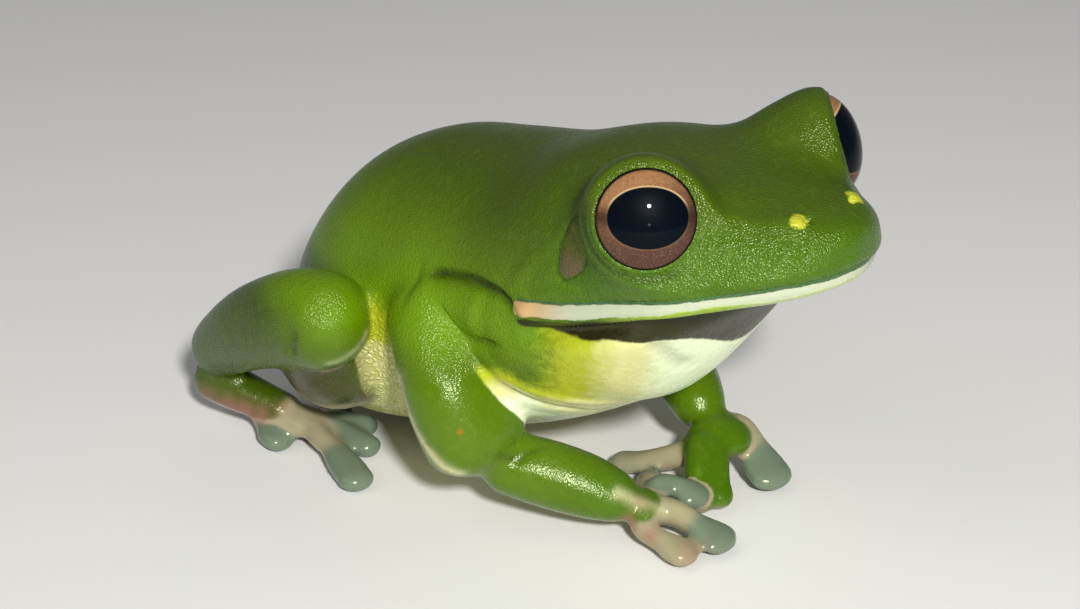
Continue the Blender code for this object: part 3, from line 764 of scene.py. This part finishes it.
def buildSkin():
    mesh = fused("frog_skin", skinShapes(), skinShape["voxel"])
    smoothSkin(mesh)
    co, edges, triangles = readMesh(mesh)
    places = {name: pathPlace(co, part) for name, part in parts.items()}
    outside = np.stack([bodyPlace(co)] + [distance for t, distance in places.values()])
    owner = np.argmin(outside, axis=0)      # 0 the body, then the parts in their order
    onBody = neighbourMean(neighbourMean((owner == 0).astype(float), edges), edges)
    print("skin parts found")

    creaseShade = creaseShadeLines(co)
    co, drum = shapeFace(co, triangles, onBody)
    place = {name: t for name, (t, distance) in places.items()}
    fields = skinFields(co, normalsOf(co, triangles), edges, owner, place, outside[0])
    fields["drum"] = drum
    # painted shade along the grooves and under the lower lids
    fields["creaseShade"] = np.maximum(creaseShade, 0.9 * np.maximum(lidCrease(co, 1), lidCrease(co, -1)))
    mesh.vertices.foreach_set("co", ((co + shift) * mm).ravel())
    for name, values in fields.items():
        layer = mesh.attributes.new(name, "FLOAT", "POINT")
        layer.data.foreach_set("value", np.asarray(values, np.float32))
    mesh.update()
    mesh.shade_smooth()
    print("skin shaped", len(mesh.polygons), "faces")
    return show("frog_skin", mesh)


def paint(red, green, blue):
    # sRGB from 0 to 255 to linear
    v = np.array((red, green, blue)) / 255
    linear = np.where(v <= 0.04045, v / 12.92, ((v + 0.055) / 1.055) ** 2.4)
    return (*linear.tolist(), 1.0)


class Nodes:
    # short names for making shader nodes and joining them
    def __init__(self, name, **colours):
        self.material = bpy.data.materials.new(name)
        self.material.use_nodes = True
        self.tree = self.material.node_tree
        self.shader = self.tree.nodes["Principled BSDF"]
        self.colours = {name: paint(*colour) for name, colour in colours.items()}

    def fill(self, node, inputs):
        # a socket is linked, anything else becomes the input's value
        for key, value in inputs.items():
            if isinstance(value, bpy.types.NodeSocket):
                self.tree.links.new(value, node.inputs[key])
            else:
                node.inputs[key].default_value = value

    def add(self, kind, inputs, output=0, **settings):
        made = self.tree.nodes.new("ShaderNode" + kind)
        for key, value in settings.items():
            setattr(made, key, value)
        self.fill(made, inputs)
        return made.outputs[output]

    def field(self, name):
        return self.add("Attribute", {}, output="Fac", attribute_name=name)

    def ramp(self, value, low, high):
        # 0 at low, 1 at high, smooth between; low may be the larger
        return self.add("MapRange", {"Value": value, 1: low, 2: high}, interpolation_type="SMOOTHSTEP")

    def mapped(self, value, low, high, atLow, atHigh):
        return self.add("MapRange", {"Value": value, 1: low, 2: high, 3: atLow, 4: atHigh})

    def mix(self, factor, a, b):
        # a and b are sockets, values or names of colours
        a, b = [self.colours[c] if isinstance(c, str) else c for c in (a, b)]
        return self.add("Mix", {0: factor, 6: a, 7: b}, output=2, data_type="RGBA")

    def layers(self, colour, *rows):
        # each row's colour over the ones before it, as far as its factor says
        for factor, over in rows:
            colour = self.mix(factor, colour, over)
        return colour

    def bump(self, strength, height):
        return self.add("Bump", {"Strength": strength, "Distance": 0.0001, "Height": height})

    def math(self, operation, a, b=0.0):
        return self.add("Math", {0: a, 1: b}, operation=operation)

    def plus(self, a, b):
        return self.math("ADD", a, b)

    def minus(self, a, b):
        return self.math("SUBTRACT", a, b)

    def times(self, a, *others):
        for b in others:
            a = self.math("MULTIPLY", a, b)
        return a

    def far(self, a, b):
        # distance between two numbers
        return self.math("ABSOLUTE", self.minus(a, b))

    def noise(self, scale, detail, rough, vector):
        return self.add("TexNoise", {"Scale": scale, "Detail": detail, "Roughness": rough, "Vector": vector})

    def cells(self, scale, vector, feature="F1"):
        return self.add("TexVoronoi", {"Scale": scale, "Vector": vector}, feature=feature)


skinColours = {   # red, green and blue from 0 to 255
    # the back green is the top painted darker, as painted shade; the thigh and crease colours are painted
    # shade
    "back": (66, 90, 2), "side": (100, 138, 3), "limb": (80, 112, 3), "head": (64, 102, 2),
    "hindLeg": (54, 78, 2), "wart": (112, 140, 20), "shadedThigh": (46, 42, 18), "creaseShade": (20, 24, 2),
    # the gap colour is painted shade between the pebbles
    "yellow": (176, 186, 34), "cream": (216, 216, 148), "white": (232, 244, 206), "gapShade": (90, 92, 30),
    "stripe": (184, 192, 166), "knob": (204, 168, 116), "line": (64, 100, 66),
    # the under-jaw colour is painted shadow
    "lip": (156, 184, 62), "lipFront": (190, 202, 150), "jawShadow": (32, 29, 4),
    "toeCream": (160, 152, 122), "toeGrey": (108, 124, 104), "blush": (146, 98, 90),
    "drumTop": (78, 84, 10), "drumLow": (98, 74, 62), "spot": (186, 190, 50), "fleck": (156, 104, 14),
    "fringe": (206, 204, 158),
}
skinGrain = {   # per metre
    "broad": 120, "wave": 420, "medium": 900, "pebbles": 1500, "fine": 3600, "bumps": 4400,
}


def skinGround(n, place, medium, wobble, height, along, pale, gaps, **others):
    # greens by height and place along the body, darker on the top as painted shade, then yellow, cream and
    # white where the pale field rises
    broad = n.noise(skinGrain["broad"], 2, 0.5, place)
    green = n.layers(
        # the top keeps the darker back green as painted shade; lower down come the brighter greens
        "back",
        (n.ramp(height, 40, 26), "side"),
        (n.ramp(height, 25, 20), "limb"),
        (n.times(n.ramp(along, 4, 18), n.ramp(height, 27, 23)), "hindLeg"),
        (n.times(n.ramp(along, -12, -26), n.ramp(height, 46, 40)), "head"),
        (n.times(n.ramp(broad, 0.35, 0.75), 0.25), "back"),
        (n.times(n.ramp(medium, 0.5, 0.8), 0.25), "wart"),
    )
    return n.layers(
        green,
        (n.ramp(pale, -1.2, 0.6), "yellow"),
        (n.ramp(pale, 0.6, 2.2), "cream"),
        (n.ramp(pale, 2.4, 4.2), "white"),
        (n.ramp(n.plus(n.field("onLimb"), n.times(wobble, 0.3)), 0.35, 0.65), green),
        # painted shade on the lower side of the thighs
        (n.times(n.field("shadedThigh"), 0.85), "shadedThigh"),
        # painted shade in the gaps between the pebbles
        (n.times(gaps, 0.3), "gapShade"),
    )


def skinMarks(n, colour, medium, wobble, height, toe, **others):
    # toes, pale edges, blushes, fleck, eardrum with painted shade in its groove, nostril spots and painted
    # shade along the creases
    drum = n.plus(n.field("drum"), n.times(wobble, 0.25))
    drumGrooveShade = n.ramp(n.far(drum, ear["groove"][0]), 0.14, 0.02)
    return n.layers(
        colour,
        (n.ramp(toe, 0.2, 0.8), "toeCream"),
        (n.ramp(toe, 1.2, 1.85), "toeGrey"),
        (n.times(n.field("fringe"), n.ramp(medium, 0.2, 0.5)), "fringe"),
        (n.times(n.field("blush"), 0.9), "blush"),
        (n.ramp(n.field("fleck"), 0.6, 0.2), "fleck"),
        (n.times(n.ramp(drum, 1.08, 0.9), 0.88), n.mix(n.ramp(height, 36.5, 40), "drumLow", "drumTop")),
        # painted shade in the groove round the eardrum
        (n.times(drumGrooveShade, 0.45), "creaseShade"),
        (n.ramp(n.plus(n.field("spot"), wobble), 1.2, 0.8), "spot"),
        # painted shade along the creases and under the lower lids
        (n.times(n.field("creaseShade"), 0.9), "creaseShade"),
    )


def skinLips(n, colour, place, wobble, along, **others):
    # bands at heights above or below the mouth line, with slightly uneven edges; the stripe has a rounded end
    h = n.plus(n.field("mouthHeight"), n.times(wobble, 0.3))
    corner = n.math("POWER", n.plus(h, 0.95), 2.0)
    lipEnd = n.plus(n.field("lipEnd"), n.times(corner, 0.7))
    onLips = n.times(n.ramp(n.field("onHead"), 0.4, 0.6), n.ramp(lipEnd, 0.15, -0.15))
    lower = n.times(n.ramp(h, -2.9, -2.3), n.ramp(h, -0.5, -0.8), n.ramp(along, -24, -30))
    wave = n.times(n.minus(n.noise(skinGrain["wave"], 2, 0.5, place), 0.5), 0.8)
    bottom = n.plus(n.plus(h, n.times(n.field("stripeHalf"), 2.0)), n.plus(wave, 0.15))
    stripe = n.math("MINIMUM", n.minus(-0.15, h), bottom)
    onStripe = n.times(n.ramp(stripe, -0.08, 0.08), onLips)
    line = n.ramp(n.minus(n.far(h, 0.02), 0.12), 0.08, -0.08)
    return onStripe, n.layers(
        colour,
        # painted shadow under the jaw
        (n.ramp(n.plus(n.field("shade"), n.times(wobble, 0.5)), 0.35, 0.8), "jawShadow"),
        (n.times(lower, onLips), n.mix(n.ramp(along, -37, -40), "lip", "lipFront")),
        (onStripe, n.mix(n.ramp(along, -23, -15.5), "stripe", "knob")),
        (n.times(line, onLips), "line"),
    )


def skinMaterial():
    n = Nodes("frog_skin", **skinColours)
    place = n.add("TexCoord", {}, output="Object")
    medium = n.noise(skinGrain["medium"], 4, 0.6, place)
    fine = n.noise(skinGrain["fine"], 3, 0.6, place)
    wobble = n.minus(medium, 0.5)
    along = n.field("alongBody")
    pale = n.plus(n.field("pale"), n.times(wobble, 1.6))
    pebbled = n.times(n.ramp(pale, -1.5, 1.0), n.ramp(along, -10, -4), n.ramp(n.field("onLimb"), 0.6, 0.3))
    # gaps between the pebbles: sunk in the relief and painted darker as painted shade
    gaps = n.times(n.ramp(n.cells(skinGrain["pebbles"], place, "DISTANCE_TO_EDGE"), 0.3, 0.0), pebbled)
    toe = n.plus(n.field("toe"), n.times(n.minus(fine, 0.5), 0.3))
    shared = {
        "place": place, "medium": medium, "wobble": wobble, "pale": pale, "gaps": gaps, "toe": toe,
        "height": n.field("height"), "along": along,
    }
    colour = skinMarks(n, skinGround(n, **shared), **shared)
    onStripe, colour = skinLips(n, colour, **shared)
    smooth = n.math("MAXIMUM", onStripe, n.times(n.ramp(toe, 0.2, 0.9), 0.85))
    roughness = n.mapped(medium, 0.3, 0.7, 0.2, 0.32)
    grain = n.plus(n.cells(skinGrain["bumps"], place), n.times(fine, 0.5))
    relief = n.plus(n.times(grain, n.mapped(pale, -1.0, 1.0, 0.9, 0.25)), n.times(gaps, -1.2))
    relief = n.times(n.plus(relief, n.times(medium, 0.8)), n.minus(1.0, n.times(smooth, 0.9)))
    n.fill(n.shader, {
        "Base Color": colour,
        "Roughness": n.minus(roughness, n.times(smooth, 0.06)),
        "Normal": n.bump(1.0, relief),
        "Specular Tint": (0.85, 0.94, 0.6, 1),
        "IOR": 1.5,
    })
    return n.material


def eyeballGrid(centre, gaze, rings=110, sides=128):
    # spheroid with its poles on the gaze; also each point's place forward, above and along the gaze
    side = unit(np.cross((0, 0, 1), gaze))
    top = np.cross(gaze, side)
    across, along = head["eyeHalves"]
    shape = ellipsoidGrid(centre, np.array([side, top, gaze]), (across, across, along), rings, sides)
    offset = shape[0] - centre
    front = offset @ side * -np.sign(centre[0])
    return shape, np.stack([front, offset @ top, offset @ gaze], 1)


eyeLook = {
    "colours": {   # red, green and blue from 0 to 255
        # rim darkens the iris's grains and is also the painted lid shadow round its edge
        "pupil": (4, 9, 18), "ring": (190, 162, 118), "rim": (14, 12, 8), "bar": (44, 32, 22),
        "irisTop": (152, 110, 76), "irisSide": (94, 67, 52), "irisLow": (84, 58, 50),
    },
    "pupilHalves": (4.0, 3.05),
    "pupilPower": 2.1,             # 2 would be an ellipse
    "pupilForward": 0.1,
    "pupilUp": 0.25,
    "limbus": 4.75,                # radius where the painted lid shadow begins
    "grains": 5.0,                 # per millimetre
    "patches": 0.9,
    "leftPupilShift": (1.3, 0.4, 0),
    "leftPupilScale": (0.8, 0.88, 1),
}


def eyeMaterial():
    # pupil as a superellipse, with a pale ring, dark bars at its corners, an iris that darkens downwards and
    # painted shadow of the lids round its edge
    n = Nodes("frog_eye", **eyeLook["colours"])
    place = n.add("Attribute", {}, output="Vector", attribute_name="eyePlace")
    split = n.add("SeparateXYZ", {0: place}).node
    u, v = split.outputs[0], split.outputs[1]
    radius = n.math("SQRT", n.plus(n.times(u, u), n.times(v, v)))
    u = n.minus(u, eyeLook["pupilForward"])
    above = n.minus(v, eyeLook["pupilUp"])
    a, b = eyeLook["pupilHalves"]
    power = eyeLook["pupilPower"]
    pupil = n.plus(n.math("POWER", n.math("DIVIDE", n.math("ABSOLUTE", u), a), power),
                   n.math("POWER", n.math("DIVIDE", n.math("ABSOLUTE", above), b), power))
    grains = n.noise(eyeLook["grains"], 5, 0.7, place)
    patches = n.minus(n.noise(eyeLook["patches"], 3, 0.6, place), 0.5)
    level = n.plus(n.plus(v, n.times(patches, 2.0)), n.times(u, -0.45))
    bar = n.ramp(n.math("ABSOLUTE", n.plus(above, n.times(patches, 0.8))), 1.8, 0.0)
    # painted shadow of the lids round the iris's edge
    rim = n.ramp(radius, eyeLook["limbus"], eyeLook["limbus"] + 0.22)
    glow = n.times(n.ramp(pupil, 1.16, 1.04), n.math("MAXIMUM", n.ramp(above, 0.4, 2.0), 0.12))
    colour = n.layers(
        "irisSide",
        (n.ramp(level, -0.5, 4.2), "irisTop"),
        (n.ramp(level, -0.5, -3.2), "irisLow"),
        (n.times(n.ramp(grains, 0.52, 0.3), 0.5), "rim"),
        (n.times(n.ramp(grains, 0.55, 0.75), 0.4), "ring"),
        (rim, "rim"),
        (glow, "ring"),
        (n.times(bar, 0.8), "bar"),
        (n.ramp(pupil, 1.05, 0.97), "pupil"),
    )
    n.fill(n.shader, {
        "Base Color": colour,
        "Roughness": n.mapped(grains, 0, 1, 0.35, 0.5),
        "Normal": n.bump(0.2, n.times(grains, n.ramp(pupil, 1.0, 1.3))),
        "IOR": 1.1, "Coat Weight": 1.0, "Coat Roughness": 0.02, "Coat IOR": 1.12,
    })
    return n.material


def buildEyes():
    material = eyeMaterial()
    for side, sign in (("left", 1), ("right", -1)):
        (points, quads, fans), place = eyeballGrid(*eyeParts(sign))
        if side == "left":      # its pupil is wider and a little nearer the snout
            place = (place - eyeLook["leftPupilShift"]) * eyeLook["leftPupilScale"]
        mesh = meshFrom("eyeball_" + side, [((points + shift) * mm, quads, fans)])
        layer = mesh.attributes.new("eyePlace", "FLOAT_VECTOR", "POINT")
        layer.data.foreach_set("vector", place.astype(np.float32).ravel())
        mesh.materials.append(material)
        mesh.shade_smooth()
        ball = show("eyeball_" + side, mesh)
        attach(ball, "root")
        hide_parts("eye_" + side)
    print("eyes built")


skin = buildSkin()
skin.data.materials.append(skinMaterial())
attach(skin, "root")
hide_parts(*[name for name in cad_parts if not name.startswith("eye_")])
buildEyes()

studio = {
    "aim": (0.0, 0.0, 20.0),      # millimetres, in the frog's frame
    "azimuth": -45.0,
    "elevation": 25.0,
    "distance": 260.0,
    "lens": 74.53,
    "lights": {                   # azimuth, elevation, distance and size in metres, watts, colour
        "key": (-35, 32, 0.55, 0.05, 3.4, (1.0, 0.98, 0.94)),
        "fill": (-110, 45, 0.7, 0.5, 0.5, (1, 1, 1)),
        "low": (-36, 8, 0.5, 0.03, 0.05, (1, 1, 1)),
        "back": (130, 55, 0.7, 0.5, 0.2, (1, 1, 1)),
    },
    "world": 0.12,
    "floorHalf": 3.0,             # metres
    "floorColours": ((0.86, 0.86, 0.86, 1), (0.9, 0.9, 0.89, 1)),
}


def toward(azimuth, elevation):
    # unit vector from the frog: azimuth 0 looks at its face, turning to its left side for above 0
    a, e = math.radians(azimuth), math.radians(elevation)
    return Vector((math.sin(a) * math.cos(e), -math.cos(a) * math.cos(e), math.sin(e)))


def standAt(name, data, direction, distance):
    # an object this far from the aim, turned to look at it
    obj = show(name, data)
    obj.location = Vector((np.array(studio["aim"]) + shift) * mm) + direction * distance
    obj.rotation_euler = direction.to_track_quat("Z", "Y").to_euler()
    return obj


def buildFloor():
    half = studio["floorHalf"]
    mesh = bpy.data.meshes.new("floor")
    corners = [(-half, -half, 0), (half, -half, 0), (half, half, 0), (-half, half, 0)]
    mesh.from_pydata(corners, [], [(0, 1, 2, 3)])
    n = Nodes("floor")
    grain = n.add("TexNoise", {"Scale": 30, "Detail": 3.0})
    n.fill(n.shader, {"Base Color": n.mix(grain, *studio["floorColours"]), "Roughness": 0.8})
    mesh.materials.append(n.material)
    show("floor", mesh)


def buildStudio():
    scene = bpy.context.scene
    lens = bpy.data.cameras.new("camera")
    lens.lens = studio["lens"]
    lens.sensor_width = 36.0
    lens.clip_start = 0.005
    direction = toward(studio["azimuth"], studio["elevation"])
    scene.camera = standAt("camera", lens, direction, studio["distance"] * mm)
    for name, (azimuth, elevation, distance, size, watts, colour) in studio["lights"].items():
        lamp = bpy.data.lights.new(name, "AREA")
        lamp.energy = watts
        lamp.shape = "DISK"
        lamp.size = size
        lamp.color = colour
        standAt(name, lamp, toward(azimuth, elevation), distance)
    world = bpy.data.worlds.new("studio")
    world.use_nodes = True
    background = world.node_tree.nodes["Background"]
    background.inputs["Color"].default_value = (1, 1, 1, 1)
    background.inputs["Strength"].default_value = studio["world"]
    scene.world = world
    scene.view_settings.view_transform = "Standard"
    buildFloor()
    print("studio set")


buildStudio()
